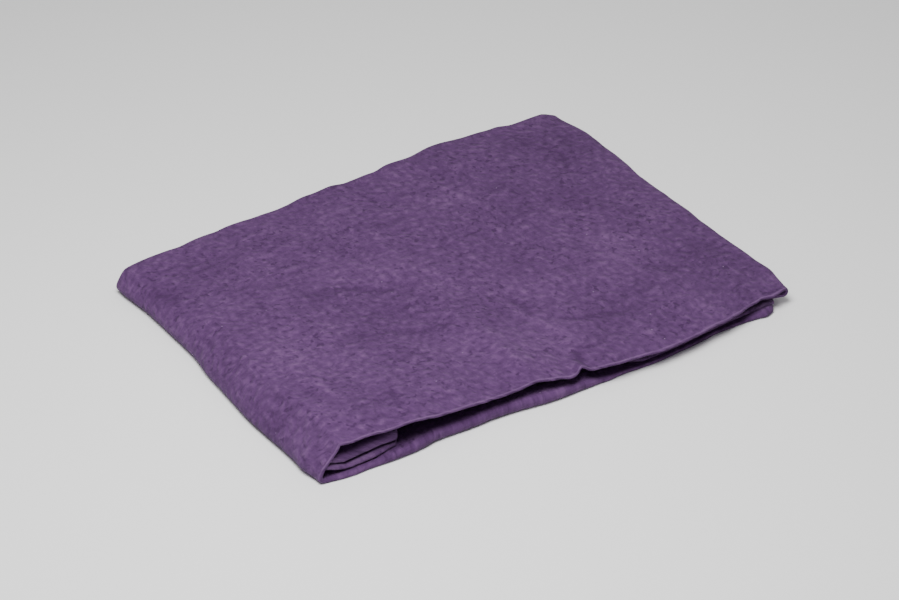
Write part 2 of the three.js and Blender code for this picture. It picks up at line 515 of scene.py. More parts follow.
@dataclass(frozen=True)
class PlyFold:
    """The plies of the strip, after three folds along its length.

    Each ply runs from one side of the strip to the other, and the next one runs back. `ranks` gives
    the place of each ply in the strip's thickness, 0 on its inner face and 7 on its outer face.
    """

    ranks: tuple[int, ...] = (0, 7, 4, 3, 2, 5, 6, 1)
    outer_ply: int = 1
    outer_stops: int = 99
    hidden_stops: int = 6
    edge_reach: float = 0.03
    turn_steps_per_rank: float = 1.15
    set_back: tuple[float, ...] = (2.2, 0.0, 0.0, 2.6, 2.6, 0.9, 0.9, 4.6)
    flat_share: float = 0.99
    turn_share: float = 0.01
    hidden_from: tuple[float, float] = (0.12, 0.88)

    def stations(self) -> dict[str, Grid]:
        """The stations across the whole cloth, from one hem to the other.

        Returns:
            For each station its share of the depth, its rank from the middle of the strip, how far it
            stands out at the front (negative) or the back in ranks, its set back from the back edge in
            mm, its place across the cloth in plies, and 1 where it is on the outermost ply.
        """
        share, rank, out, back, place, outer = [], [], [], [], [], []
        middle = (len(self.ranks) - 1) / 2
        for ply, own in enumerate(self.ranks):
            is_outer = ply == self.outer_ply
            stops = self.outer_shares() if is_outer else self.hidden_shares()
            to_front = ply % 2 == 0
            stops = stops[::-1] if to_front else stops
            for stop in stops:
                share.append(stop)
                rank.append(own - middle)
                out.append(0.0)
                back.append(self.set_back[ply])
                place.append(ply + abs(stop - stops[0]) * self.flat_share)
                outer.append(float(is_outer))
            if ply == len(self.ranks) - 1:
                break
            following = self.ranks[ply + 1]
            half = abs(following - own) / 2
            steps = max(2, round(half * 2 * self.turn_steps_per_rank) + 1)
            for step in range(1, steps + 1):
                angle = math.pi * step / (steps + 1)
                share.append(0.0 if to_front else 1.0)
                rank.append((own + following) / 2 - middle + (own - following) / 2 * math.cos(angle))
                out.append((-1 if to_front else 1) * half * math.sin(angle))
                back.append(self.set_back[ply])
                place.append(ply + self.flat_share + self.turn_share * step / (steps + 1))
                outer.append(0.0)
        names = ("share", "rank", "out", "back", "place", "outer")
        return {name: np.array(v) for name, v in zip(names, (share, rank, out, back, place, outer))}

    def outer_shares(self) -> Grid:
        """The stations of the outermost ply, closer together near its edges."""
        even = np.linspace(0.0, 1.0, self.outer_stops)
        return even - 0.5 * self.edge_reach * np.sin(2 * math.pi * even)

    def hidden_shares(self) -> Grid:
        """The stations of a ply that shows only at its edges."""
        inside = np.linspace(*self.hidden_from, self.hidden_stops - 2)
        return np.concatenate([[0.0], [self.edge_reach], inside, [1 - self.edge_reach], [1.0]])


# ---- The top's relief -----------------------------------------------------------------------------


@dataclass(frozen=True)
class TopRelief:
    """The soft unevenness and the creases of the top of the pile, in mm."""

    creases: tuple[Crease, ...] = (
        Crease(((29, -70), (36, -83), (46, -91), (58, -96), (71, -101), (90, -105)), -0.71, 2.4),
        Crease(((14, -58), (21, -80), (27, -100), (29, -112)), 0.58, 3.4),
        Crease(((56, 110), (64, 92), (70, 72), (76, 55)), 0.42, 3.1),
        Crease(((-121, 62), (-120, 45), (-126, 18)), -0.54, 2.5),
        Crease(((-74, 27), (-53, 14), (-40, 4), (-26, -8)), -0.58, 2.4),
        Crease(((-72, -37), (-62, -43), (-48, -52), (-28, -53)), -0.65, 2.5),
        Crease(((-102, -30), (-86, -35), (-72, -40)), -0.58, 2.5),
        Crease(((-99, 33), (-86, 26), (-72, 22)), -0.48, 2.5),
        Crease(((-39, 26), (-31, 8), (-24, -14)), -0.44, 2.7),
        Crease(((21, -44), (24, -62), (20, -80)), -0.51, 2.5),
        Crease(((-103, -92), (-108, -105), (-113, -122)), -0.68, 2.3),
        Crease(((14, -140), (18, -130), (24, -119)), -0.85, 2.4),
        Crease(((-108, 90), (-95, 89), (-80, 86)), 0.42, 2.7),
        Crease(((-176, 100), (-168, 84), (-163, 70)), -0.51, 3.4),
        Crease(((118, -60), (130, -75), (146, -82)), -0.44, 2.9),
        Crease(((104, 30), (122, 18), (138, 0)), 0.37, 3.4),
        Crease(((-150, -60), (-140, -80), (-138, -100)), 0.51, 3.4),
        Crease(((-20, 90), (-2, 78), (20, 74)), -0.37, 2.9),
        Crease(((150, 60), (160, 84), (158, 104)), -0.37, 2.9),
    )
    swells: Unevenness = Unevenness(11, (74.0, 58.0), 20.0)
    lumps: Unevenness = Unevenness(12, (27.0, 20.0), -30.0)
    puckers: Unevenness = Unevenness(13, (13.0, 10.0), 15.0)
    swell: float = 0.75
    lump: float = 0.5
    pucker: float = 0.26
    ridge: float = 1.7
    ridge_span: Points = ((-176, 0.3), (-150, 1.0), (-20, 1.0), (30, 0.45), (190, 0.35))
    tuck_x: float = 12.5
    tuck_width: float = 3.4
    tuck_depth: float = 3.2
    tuck_lift: float = 2.4
    tuck_reach: float = 13.0
    beside_tuck: tuple[float, float, float] = (9.0, 5.0, 12.0)
    beside_tuck_depth: float = 1.2
    beside_tuck_lift: float = 0.5
    rolled_up: tuple[float, float] = (0.0, 21.0)
    rolled_down: tuple[float, float] = (24.0, 78.0)
    rolled_down_by: float = 0.75
    rolled_mean: float = 0.25

    def at(self, x: Grid, y: Grid, depth: Grid) -> Grid:
        """How far the top stands out at points of the plan.

        Args:
            x: The points' x.
            y: Their y.
            depth: Their distance from the front edge.

        Returns:
            The relief, in mm.
        """
        height = self.swell * self.swells.at(x, y) + self.lump * self.lumps.at(x, y)
        height = height + self.pucker * self.puckers.at(x, y) + self.creased(x, y)
        rolled = ease(depth, *self.rolled_up) * (1 - self.rolled_down_by * ease(depth, *self.rolled_down))
        return height + self.ridge * through(self.ridge_span, x) * (rolled - self.rolled_mean)

    def creased(self, x: Grid, y: Grid) -> Grid:
        """How high the creases alone stand at points of the plan, in mm."""
        return sum(crease.relief(x, y) for crease in self.creases)

    def tuck(self, x: Grid, depth: Grid) -> tuple[Grid, Grid]:
        """The small tuck in the front edge.

        Args:
            x: Where along the edge.
            depth: The distance from it.

        Returns:
            How far the cloth is drawn back there, and how far it is lifted, in mm.
        """
        away, width, reach = self.beside_tuck
        pinch = bell(x, self.tuck_x, self.tuck_width) * (1 - ease(depth, 0.0, self.tuck_reach))
        beside = bell(x, self.tuck_x - away, width) * (1 - ease(depth, 0.0, reach))
        drawn = self.tuck_depth * pinch - self.beside_tuck_depth * beside
        return drawn, self.tuck_lift * pinch - self.beside_tuck_lift * beside


# ---- The cloth ------------------------------------------------------------------------------------


@dataclass
class Tablecloth:
    """The whole tablecloth: one hemmed rectangle of linen, folded."""

    cut: tuple[float, float] = (1500.0, 2200.0)
    cloth: float = 0.33
    hem_extra: float = 0.16
    hem: float = 14.0
    hem_bulk: float = 0.9
    stitch_line: float = 11.0
    stitch_dimple: float = 0.42
    shape: PileShape = field(default_factory=PileShape)
    plies: PlyFold = field(default_factory=PlyFold)
    relief: TopRelief = field(default_factory=TopRelief)
    edge_waves: Unevenness = Unevenness(31, (23.0, 9.0))
    fine_edge_waves: Unevenness = Unevenness(32, (8.0, 9.0))
    wave: float = 0.7
    fine_wave: float = 0.28
    back_wave: float = 0.4
    back_wave_from: float = 400.0
    wave_per_station: float = 0.35
    front_set_in: float = 3.5
    back_set_in: float = 1.5
    set_back_varies: tuple[float, float] = (0.5, 37.0)
    stitch_width: float = 1.7
    stitched: tuple[float, float] = (0.025, 0.97)
    hem_fades: float = 2.2
    hem_step: float = 3.0
    end_quarter: float = 0.25

    def middle_surface(self) -> tuple[Grid, Grid, Grid, Grid]:
        """The middle of the cloth, ply by ply.

        Returns:
            The points of the cloth as rows along the strip and columns across the cloth, in mm, the
            same points as places on the flat cloth, in mm, the cloth's thickness at each, and how high
            the top's creases stand there.
        """
        across = self.plies.stations()
        share = across["share"]
        laid = Route(self.shape, share).laid()
        count = len(self.plies.ranks)
        rows = laid.x.shape[0]
        station = np.arange(rows, dtype=float)[:, None]

        # Distance from the front edge, before the edge is rounded.
        depth = (laid.back - laid.front) * share
        bulge = laid.is_bottom * self.shape.front_bulge(laid.x, depth)
        ends = self.end_nearness(laid)
        rim = laid.is_top * self.shape.top_rim * (1 - ease(depth, *self.shape.top_rim_reach))
        thickness = laid.thickness + bulge - rim + self.hem_bulk * ends
        pitch = thickness / count

        # The strip's middle line, and the way its outer face looks.
        x = laid.x + self.shape.stray(laid.x, np.broadcast_to(share, laid.x.shape))
        z = laid.z + (bulge + self.hem_bulk * ends) / 2 * laid.is_bottom + rim / 2
        along = np.stack([np.gradient(x, axis=0), np.gradient(z, axis=0)])
        along = along / np.linalg.norm(along, axis=0)
        out_x, out_z = -along[1], along[0]

        # The plan of the strip's edges, with their unevenness.
        slow = station * self.wave_per_station
        waves = self.wave * self.edge_waves.at(laid.x, slow)
        waves = waves + self.fine_wave * self.fine_edge_waves.at(laid.x, station)
        front = laid.front + waves + self.front_set_in * pitch[:, :1]
        back_waves = self.back_wave * self.edge_waves.at(laid.x + self.back_wave_from, slow)
        share_of_it, length = self.set_back_varies
        set_back = across["back"] * (1 + share_of_it * np.sin(laid.x / length + across["back"]))
        back = laid.back + back_waves - self.back_set_in * pitch - set_back
        y = mix(front, back, share) + across["out"] * pitch

        # The relief of the top, which follows it round the folds and fades out below.
        relief = self.beneath(self.relief.at(x, y, depth) * laid.is_top, across)
        drawn, lifted = self.relief.tuck(x, depth)
        y = y + drawn * laid.is_top
        near_line = bell(np.abs(laid.x - laid.x[:1]), self.stitch_line, self.stitch_width)
        sewn = near_line * (station < rows * self.end_quarter)
        drawn_in = self.stitch_dimple * sewn * (across["rank"] + (count - 1) / 2) / (count - 1)
        out = across["rank"] * pitch + relief + lifted * laid.is_top - drawn_in
        points = np.stack([x + out * out_x, y, z + out * out_z], axis=-1)

        # Crease heights on the outer ply of the top, kept for the colour: painted shade in the troughs,
        # painted light on the ridges.
        creased = self.relief.creased(x, y) * laid.is_top * (across["outer"] > 0)
        flat = self.flat_places(points, across["place"])
        hem = np.maximum(*(self.hem_profile(flat[..., i], self.cut[i]) for i in range(2)))
        return points, flat, self.cloth + self.hem_extra * hem, creased

    def beneath(self, relief: Grid, across: dict[str, Grid]) -> Grid:
        """Keeps the plies under the outermost one clear of its dips.

        They have few stations, so between two of them they lie as low as its lowest dip there.

        Args:
            relief: The relief at each point of the cloth.
            across: The stations across the cloth.

        Returns:
            The relief, lowered on the plies beneath.
        """
        outer, share = across["outer"] > 0, across["share"]
        stops = self.plies.hidden_shares()
        lowered = relief.copy()
        for before, stop, after in zip(stops, stops[1:], stops[2:]):
            near = outer & (share >= before) & (share <= after)
            here = ~outer & (np.abs(share - stop) < 1e-6)
            lowered[:, here] = relief[:, near].min(axis=1, keepdims=True)
        return lowered

    def end_nearness(self, laid: Laid) -> Grid:
        """1 at the free ends of the strip, where the hems lie, falling to 0 inside."""
        rows = laid.x.shape[0]
        first, last = np.abs(laid.x - laid.x[:1]), np.abs(laid.x - laid.x[-1:])
        reach = self.hem * self.hem_fades
        near_first, near_last = (1 - ease(away, self.hem, reach) for away in (first, last))
        index = np.arange(rows)[:, None]
        at_first = np.where(index < rows * self.end_quarter, near_first, 0.0)
        return at_first + np.where(index > rows * (1 - self.end_quarter), near_last, 0.0)

    def flat_places(self, points: Grid, place: Grid) -> Grid:
        """Where points of the folded cloth are on the flat cloth, in mm."""
        steps = np.linalg.norm(np.diff(points, axis=0), axis=-1)
        run = np.concatenate([np.zeros((1, points.shape[1])), np.cumsum(steps, axis=0)])
        run = run / run[-1:] * self.cut[0]
        over = np.broadcast_to(place / place[-1] * self.cut[1], run.shape)
        return np.stack([run, over], axis=-1)

    def hem_profile(self, place: Grid, length: float) -> Grid:
        """1 on the hems at the two ends of a length, 0 between them."""
        edge = np.minimum(place, length - place)
        return 1 - ease(edge, self.hem, self.hem + self.hem_step)

    def build(self) -> tuple[bpy.types.Object, Grid]:
        """Makes the cloth as one closed sheet with its real thickness.

        Returns:
            The cloth, and the line that the hem at its lower free end is sewn along, in metres.
        """
        points, flat, thickness, creased = self.middle_surface()
        along, over = np.gradient(points, axis=0), np.gradient(points, axis=1)
        normal = np.cross(along, over)
        normal /= np.maximum(np.linalg.norm(normal, axis=-1, keepdims=True), 1e-9)
        half = normal * thickness[..., None] / 2
        outer, inner = points + half, points - half
        outer[..., 2] = np.maximum(outer[..., 2], 0.0)
        inner[..., 2] = np.maximum(inner[..., 2], 0.0)
        rows, columns = points.shape[:2]
        index = np.arange(rows * columns).reshape(rows, columns)
        corners = [index[:-1, :-1], index[1:, :-1], index[1:, 1:], index[:-1, 1:]]
        quads = np.stack(corners, axis=-1).reshape(-1, 4)
        under = quads[:, [0, 3, 2, 1]] + rows * columns
        rim = np.concatenate([index[:, 0], index[-1, 1:], index[-2::-1, -1], index[0, -2:0:-1]])
        following = np.roll(rim, -1)
        lower = rim + rows * columns
        wall = np.stack([rim, lower, following + rows * columns, following], axis=-1)
        faces = np.concatenate([quads, under, wall])
        vertices = np.concatenate([outer.reshape(-1, 3), inner.reshape(-1, 3)])
        vertices = self.placed(vertices) * MM
        sewn_row = self.sewn_line(vertices, columns)
        mesh = bpy.data.meshes.new("folded_linen")
        mesh.from_pydata(vertices.tolist(), [], faces.tolist())
        mesh.polygons.foreach_set("use_smooth", np.ones(len(faces), bool))
        layer = mesh.uv_layers.new(name="flat_cloth")
        places = np.concatenate([flat.reshape(-1, 2)] * 2) * MM
        layer.data.foreach_set("uv", places[faces.reshape(-1)].astype(np.float32).reshape(-1))
        # The crease heights go on the mesh for the painted crease shade and light.
        marks = mesh.attributes.new(CREASE_SHADE_ATTRIBUTE, "FLOAT", "POINT")
        marks.data.foreach_set("value", np.concatenate([creased.reshape(-1)] * 2).astype(np.float32))
        mesh.update()
        cloth = bpy.data.objects.new("folded_linen", mesh)
        bpy.context.scene.collection.objects.link(cloth)
        return cloth, sewn_row

    def sewn_line(self, vertices: Grid, columns: int) -> Grid:
        """The hem's stitch line on the underside, clear of the folded edges.

        Args:
            vertices: The cloth's vertices, row by row.
            columns: How many there are in a row.

        Returns:
            The points of the line.
        """
        row = Route.hem_stations.index(self.stitch_line)
        across = self.plies.stations()
        low, high = self.stitched
        shown = (across["outer"] > 0) & (across["share"] > low) & (across["share"] < high)
        return vertices[row * columns:(row + 1) * columns][shown]

    def placed(self, vertices: Grid) -> Grid:
        """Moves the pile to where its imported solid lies."""
        low, high = (np.array(corner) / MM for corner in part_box(NODE))
        middle = (vertices.min(0) + vertices.max(0)) / 2
        shift = (low + high) / 2 - middle
        shift[2] = low[2] - vertices[:, 2].min()
        return vertices + shift

    def dress(self, cloth: bpy.types.Object, finish: "WashedLinen") -> None:
        """Gives the cloth its finish, parents it to the root body and hides the imported solid.

        Args:
            cloth: The finished cloth.
            finish: What it is made of.
        """
        cloth.data.materials.append(finish.material())
        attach(cloth, "root")
        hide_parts(NODE)


@dataclass(frozen=True)
class HemStitches:
    """A row of stitches along the hem, in mm, made by Geometry Nodes."""

    pitch: float = 3.1
    length: float = 2.3
    thread: float = 0.36
    unevenness: float = 0.12
    seed: int = 5
    bead: tuple[int, int] = (6, 5)

    def build(self, line: Grid, finish: "SewingThread") -> bpy.types.Object:
        """Sews the row.

        Args:
            line: The points that it runs through, in metres.
            finish: What the thread is made of.

        Returns:
            The stitches, as one plain mesh.
        """
        mesh = bpy.data.meshes.new("stitch_line")
        mesh.from_pydata(line.tolist(), [(i, i + 1) for i in range(len(line) - 1)], [])
        guide = bpy.data.objects.new("stitch_line", mesh)
        bpy.context.scene.collection.objects.link(guide)
        material = finish.material()
        tree = self.tree()
        sewing = guide.modifiers.new("sewing", "NODES")
        sewing.node_group = tree
        wanted = {"Pitch": self.pitch * MM, "Stitch Length": self.length * MM, "Thread": self.thread * MM,
                  "Unevenness": self.unevenness, "Seed": self.seed, "Finish": material}
        for item in tree.interface.items_tree:
            if item.in_out == "INPUT" and item.name in wanted:
                sewing[item.identifier] = wanted[item.name]
        sewn = guide.evaluated_get(bpy.context.evaluated_depsgraph_get())
        result = bpy.data.meshes.new_from_object(sewn)
        bpy.data.objects.remove(guide)
        result.name = "hem_stitches"
        result.polygons.foreach_set("use_smooth", np.ones(len(result.polygons), bool))
        stitches = bpy.data.objects.new("hem_stitches", result)
        bpy.context.scene.collection.objects.link(stitches)
        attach(stitches, "root")
        return stitches

    def tree(self) -> bpy.types.NodeTree:
        """The nodes that lay a stitch at every pitch of a line."""
        tree = bpy.data.node_groups.new("hem_stitches", "GeometryNodeTree")
        for name, kind in (("Geometry", "Geometry"), ("Pitch", "Float"), ("Stitch Length", "Float"),
                           ("Thread", "Float"), ("Unevenness", "Float"), ("Seed", "Int"),
                           ("Finish", "Material")):
            tree.interface.new_socket(name, in_out="INPUT", socket_type=f"NodeSocket{kind}")
        tree.interface.new_socket("Geometry", in_out="OUTPUT", socket_type="NodeSocketGeometry")
        shelf = Shelf(tree)
        sizes = shelf.node("NodeGroupInput", "sizes").outputs
        curve = shelf.feed(shelf.node("GeometryNodeMeshToCurve", "line"), {"Mesh": sizes["Geometry"]})
        points = shelf.feed(shelf.node("GeometryNodeCurveToPoints", "stitch places", mode="LENGTH"),
                            {"Curve": curve.outputs["Curve"], "Length": sizes["Pitch"]})
        turned = shelf.feed(shelf.node("FunctionNodeAlignRotationToVector", "along the line", axis="X"),
                            {"Vector": points.outputs["Tangent"]})
        segments, rings = self.bead
        bead = shelf.feed(shelf.node("GeometryNodeMeshUVSphere", "stitch"),
                          {"Segments": segments, "Rings": rings, "Radius": 0.5})
        size = shelf.feed(shelf.node("ShaderNodeCombineXYZ", "stitch size"),
                          {"X": sizes["Stitch Length"], "Y": sizes["Thread"], "Z": sizes["Thread"]})
        uneven = shelf.node("FunctionNodeRandomValue", "uneven stitches", data_type="FLOAT")
        shortest = shelf.maths("SUBTRACT", "shortest", 1.0, sizes["Unevenness"])
        longest = shelf.maths("ADD", "longest", 1.0, sizes["Unevenness"])
        shelf.feed(uneven, {2: shortest, 3: longest, "Seed": sizes["Seed"]})
        scale = shelf.feed(shelf.node("ShaderNodeVectorMath", "its size", operation="SCALE"),
                           {0: size.outputs["Vector"], "Scale": uneven.outputs[1]})
        laid = shelf.feed(shelf.node("GeometryNodeInstanceOnPoints", "stitches"),
                          {"Points": points.outputs["Points"], "Instance": bead.outputs["Mesh"],
                           "Rotation": turned.outputs["Rotation"], "Scale": scale.outputs["Vector"]})
        plain = shelf.feed(shelf.node("GeometryNodeRealizeInstances", "plain mesh"),
                           {"Geometry": laid.outputs["Instances"]})
        dressed = shelf.feed(shelf.node("GeometryNodeSetMaterial", "thread"),
                             {"Geometry": plain.outputs["Geometry"], "Material": sizes["Finish"]})
        shelf.feed(shelf.node("NodeGroupOutput", "stitched"), {"Geometry": dressed.outputs["Geometry"]})
        return tree


# ---- Finishes -------------------------------------------------------------------------------------

Colour = tuple[float, float, float, float]


@dataclass
class Shelf:
    """Lays the nodes of a tree out and joins them."""

    tree: bpy.types.NodeTree
    step: float = 190.0
    drop: float = 260.0
    in_a_row: int = 9
    used: int = 0

    def node(self, kind: str, label: str, **settings: object) -> bpy.types.Node:
        """A new node with a label and settings."""
        made = self.tree.nodes.new(kind)
        made.label = label
        made.location = (self.step * (self.used % self.in_a_row), -self.drop * (self.used // self.in_a_row))
        self.used += 1
        for name, value in settings.items():
            setattr(made, name, value)
        return made

    def join(self, source: bpy.types.NodeSocket, target: bpy.types.NodeSocket) -> None:
        """Joins one socket to another."""
        self.tree.links.new(source, target)

    def feed(self, node: bpy.types.Node, values: dict[str | int, object]) -> bpy.types.Node:
        """Feeds a node's inputs, each with a number, a colour or another node's output.

        Args:
            node: The node.
            values: What goes into which input.

        Returns:
            The node.
        """
        for name, value in values.items():
            if isinstance(value, bpy.types.NodeSocket):
                self.join(value, node.inputs[name])
            else:
                node.inputs[name].default_value = value
        return node

    def maths(self, operation: str, label: str,
              *values: bpy.types.NodeSocket | float) -> bpy.types.NodeSocket:
        """A Math node on sockets and numbers; gives its output."""
        made = self.node("ShaderNodeMath", label, operation=operation)
        return self.feed(made, dict(enumerate(values))).outputs[0]

    def noise(self, label: str, place: bpy.types.NodeSocket, scale: float, detail: float, rough: float = 0.5,
              twist: float = 0.0) -> bpy.types.NodeSocket:
        """A Noise node at a place; gives its value."""
        values = {"Scale": scale, "Detail": detail, "Roughness": rough, "Distortion": twist, "Vector": place}
        return self.feed(self.node("ShaderNodeTexNoise", label), values).outputs["Fac"]

    def spread(self, label: str, value: bpy.types.NodeSocket, low: float, high: float, to_low: float = 0.0,
               to_high: float = 1.0) -> bpy.types.NodeSocket:
        """A Map Range node; gives its output."""
        values = {"From Min": low, "From Max": high, "To Min": to_low, "To Max": to_high, "Value": value}
        return self.feed(self.node("ShaderNodeMapRange", label), values).outputs["Result"]


@dataclass(frozen=True)
class WashedLinen:
    """Plain-woven linen, piece dyed and washed soft: mottled, crumpled and matt.

    Lengths are in metres on the flat cloth.
    """

    name: str = "washed_linen"
    dark: Colour = (0.052, 0.018, 0.072, 1.0)
    middle: Colour = (0.088, 0.036, 0.116, 1.0)
    light: Colour = (0.142, 0.067, 0.174, 1.0)
    fleck: Colour = (0.22, 0.15, 0.26, 1.0)
    # How strongly the crease heights darken troughs and lighten ridges in the colour: painted shade and
    # light.
    painted_crease_shade: float = 0.28
    # Lighter colour painted along the folded edges as a highlight.
    fold_highlight: Colour = (0.165, 0.088, 0.2, 1.0)
    ply: float = 0.27534
    fold_highlight_width: float = 0.0009
    thread: float = 0.00062
    thread_wander: tuple[float, float, float] = (0.0007, 0.0007, 0.0)
    wander_scale: float = 160.0
    slub_width: float = 1.6
    slub_length: float = 0.014
    slub_height: float = 1.3
    slub_range: tuple[float, float] = (0.56, 0.8)
    slub_apart: tuple[float, float] = (3.7, 1.9)
    crush_scale: float = 115.0
    fine_scale: float = 210.0
    pit_scale: float = 235.0
    pit_range: tuple[float, float] = (0.42, 0.26)
    pit_patches: float = 32.0
    dye_scale: float = 17.0
    dye_stops: tuple[float, float, float] = (0.34, 0.56, 0.78)
    tone_shares: tuple[float, float, float, float] = (0.38, 0.14, 0.52, 0.05)
    lint_scale: float = 90.0
    lint_size: tuple[float, float] = (0.05, 0.03)
    lint_left_out: float = 0.6
    crush_shares: tuple[float, float] = (0.65, 0.35)
    sheen_tint: Colour = (0.85, 0.78, 0.92, 1.0)
    roughness: tuple[float, float] = (0.82, 0.96)
    sheen: float = 0.06
    sheen_roughness: float = 0.55
    crush_depth: float = 0.0011
    weave_depth: float = 0.00007

    def material(self) -> bpy.types.Material:
        """Builds the material."""
        made = bpy.data.materials.new(self.name)
        made.use_nodes = True
        made.diffuse_color = self.middle
        tree = made.node_tree
        tree.nodes.clear()
        shelf = Shelf(tree)
        place = shelf.node("ShaderNodeUVMap", "flat cloth", uv_map="flat_cloth").outputs["UV"]

        weave = self.weave(shelf, place)
        crush, fine = self.crush(shelf, place)
        colour = self.colour(shelf, place, crush, fine, weave)

        shader = shelf.node("ShaderNodeBsdfPrincipled", "linen")
        roughness = shelf.spread("roughness", fine, 0.3, 0.7, *self.roughness)
        shelf.feed(shader, {"Base Color": colour, "Roughness": roughness, "Sheen Weight": self.sheen,
                            "Sheen Roughness": self.sheen_roughness, "Sheen Tint": self.sheen_tint,
                            "Specular IOR Level": 0.15})

        crumple = shelf.node("ShaderNodeBump", "crumple")
        soft_share, fine_share = self.crush_shares
        height = shelf.maths("ADD", "crumple height", shelf.maths("MULTIPLY", "soft part", crush, soft_share),
                             shelf.maths("MULTIPLY", "fine part", fine, fine_share))
        shelf.feed(crumple, {"Distance": self.crush_depth, "Strength": 0.9, "Height": height})
        threads = shelf.feed(shelf.node("ShaderNodeBump", "thread relief"),
                             {"Distance": self.weave_depth, "Strength": 0.8, "Height": weave,
                              "Normal": crumple.outputs["Normal"]})
        shelf.feed(shader, {"Normal": threads.outputs["Normal"]})
        shelf.feed(shelf.node("ShaderNodeOutputMaterial", "output"), {"Surface": shader.outputs["BSDF"]})
        return made

    def weave(self, shelf: Shelf, place: bpy.types.NodeSocket) -> bpy.types.NodeSocket:
        """The height of a plain weave of uneven threads.

        Args:
            shelf: Where the nodes go.
            place: The place on the flat cloth.

        Returns:
            The height, from 0 to about 1.
        """
        wander = shelf.feed(shelf.node("ShaderNodeTexNoise", "threads wander"),
                            {"Scale": self.wander_scale, "Detail": 2.0, "Vector": place})
        shift = shelf.feed(shelf.node("ShaderNodeVectorMath", "wander", operation="MULTIPLY_ADD"),
                           {0: wander.outputs["Color"], 1: self.thread_wander, 2: place})
        split = shelf.feed(shelf.node("ShaderNodeSeparateXYZ", "thread directions"),
                           {"Vector": shift.outputs["Vector"]})
        turns = math.pi / self.thread
        warp = shelf.maths("SINE", "warp", shelf.maths("MULTIPLY", "warp count", split.outputs["X"], turns))
        weft = shelf.maths("SINE", "weft", shelf.maths("MULTIPLY", "weft count", split.outputs["Y"], turns))
        crossing = shelf.maths("MULTIPLY", "over and under", warp, weft)
        warp_high = shelf.maths("ABSOLUTE", "warp thread", warp)
        weft_high = shelf.maths("ABSOLUTE", "weft thread", weft)
        over = shelf.maths("GREATER_THAN", "warp over weft", crossing, 0.0)
        first = shelf.maths("MULTIPLY", "warp shows", warp_high, over)
        under = shelf.maths("SUBTRACT", "weft over warp", 1.0, over)
        second = shelf.maths("MULTIPLY", "weft shows", weft_high, under)
        plain = shelf.maths("ADD", "plain weave", first, second)
        slub = shelf.maths("ADD", "slubs", self.slub(shelf, place, 0), self.slub(shelf, place, 1))
        return shelf.maths("MULTIPLY_ADD", "slubbed weave", slub, self.slub_height, plain)

    def slub(self, shelf: Shelf, place: bpy.types.NodeSocket, direction: int) -> bpy.types.NodeSocket:
        """Where threads of one direction run thick.

        Args:
            shelf: Where the nodes go.
            place: The place on the flat cloth.
            direction: 0 for warp, 1 for weft.

        Returns:
            How thick they run, from 0 to 1.
        """
        stretch = shelf.node("ShaderNodeMapping", "slub length")
        across, along = 1.0 / (self.thread * self.slub_width), 1.0 / self.slub_length
        apart = (self.slub_apart[0] * direction, self.slub_apart[1], 0.0)
        shelf.feed(stretch, {"Scale": (along, across, 1.0) if direction else (across, along, 1.0),
                             "Location": apart, "Vector": place})
        thick = shelf.noise("thick threads", stretch.outputs["Vector"], 1.0, 1.0)
        return shelf.spread("slub", thick, *self.slub_range)

    def crush(self, shelf: Shelf,
              place: bpy.types.NodeSocket) -> tuple[bpy.types.NodeSocket, bpy.types.NodeSocket]:
        """The crumpling that washing leaves.

        Args:
            shelf: Where the nodes go.
            place: The place on the flat cloth.

        Returns:
            The soft crush and the fine crush, from 0 to 1.
        """
        soft = shelf.noise("soft crush", place, self.crush_scale, 2.0, 0.5, 0.2)
        centred = shelf.maths("SUBTRACT", "about the middle", soft, 0.5)
        folded = shelf.maths("ABSOLUTE", "sharp creases", centred)
        soft = shelf.spread("creased crush", folded, 0.0, 0.2)
        fine = shelf.noise("fine crush", place, self.fine_scale, 2.0, 0.5)
        pitted = shelf.noise("pitted", place, self.pit_scale, 1.0, 0.6, 0.4)
        pits = shelf.spread("pits", pitted, *self.pit_range)
        patches = shelf.noise("where pitted", place, self.pit_patches, 1.0)
        some = shelf.spread("here and there", patches, 0.4, 0.64, 0.15, 0.8)
        pitting = shelf.maths("MULTIPLY", "pitting", pits, some)
        return soft, shelf.maths("SUBTRACT", "crush with pits", fine, pitting)

    def painted_fold_highlight(self, shelf: Shelf, place: bpy.types.NodeSocket) -> bpy.types.NodeSocket:
        """Where a painted highlight lightens the cloth along each lengthwise fold line, the folded edges of
        the strip.

        Args:
            shelf: Where the nodes go.
            place: The place on the flat cloth.

        Returns:
            How strong the painted highlight is, from 0 to 1.
        """
        split = shelf.feed(shelf.node("ShaderNodeSeparateXYZ", "across the cloth"), {"Vector": place})
        plies = shelf.maths("MULTIPLY_ADD", "plies", split.outputs["Y"], 1 / self.ply, 0.5)
        off = shelf.maths("SUBTRACT", "from the fold", shelf.maths("FRACT", "in the ply", plies), 0.5)
        beside = shelf.maths("ABSOLUTE", "beside it", off)
        near = shelf.spread("by the fold", beside, self.fold_highlight_width / self.ply, 0.0)
        uneven = shelf.noise("uneven fold highlight", place, 90.0, 2.0)
        patchy = shelf.spread("patchy", uneven, 0.3, 0.7, 0.3, 1.0)
        return shelf.maths("MULTIPLY", "patchy fold highlight", near, patchy)

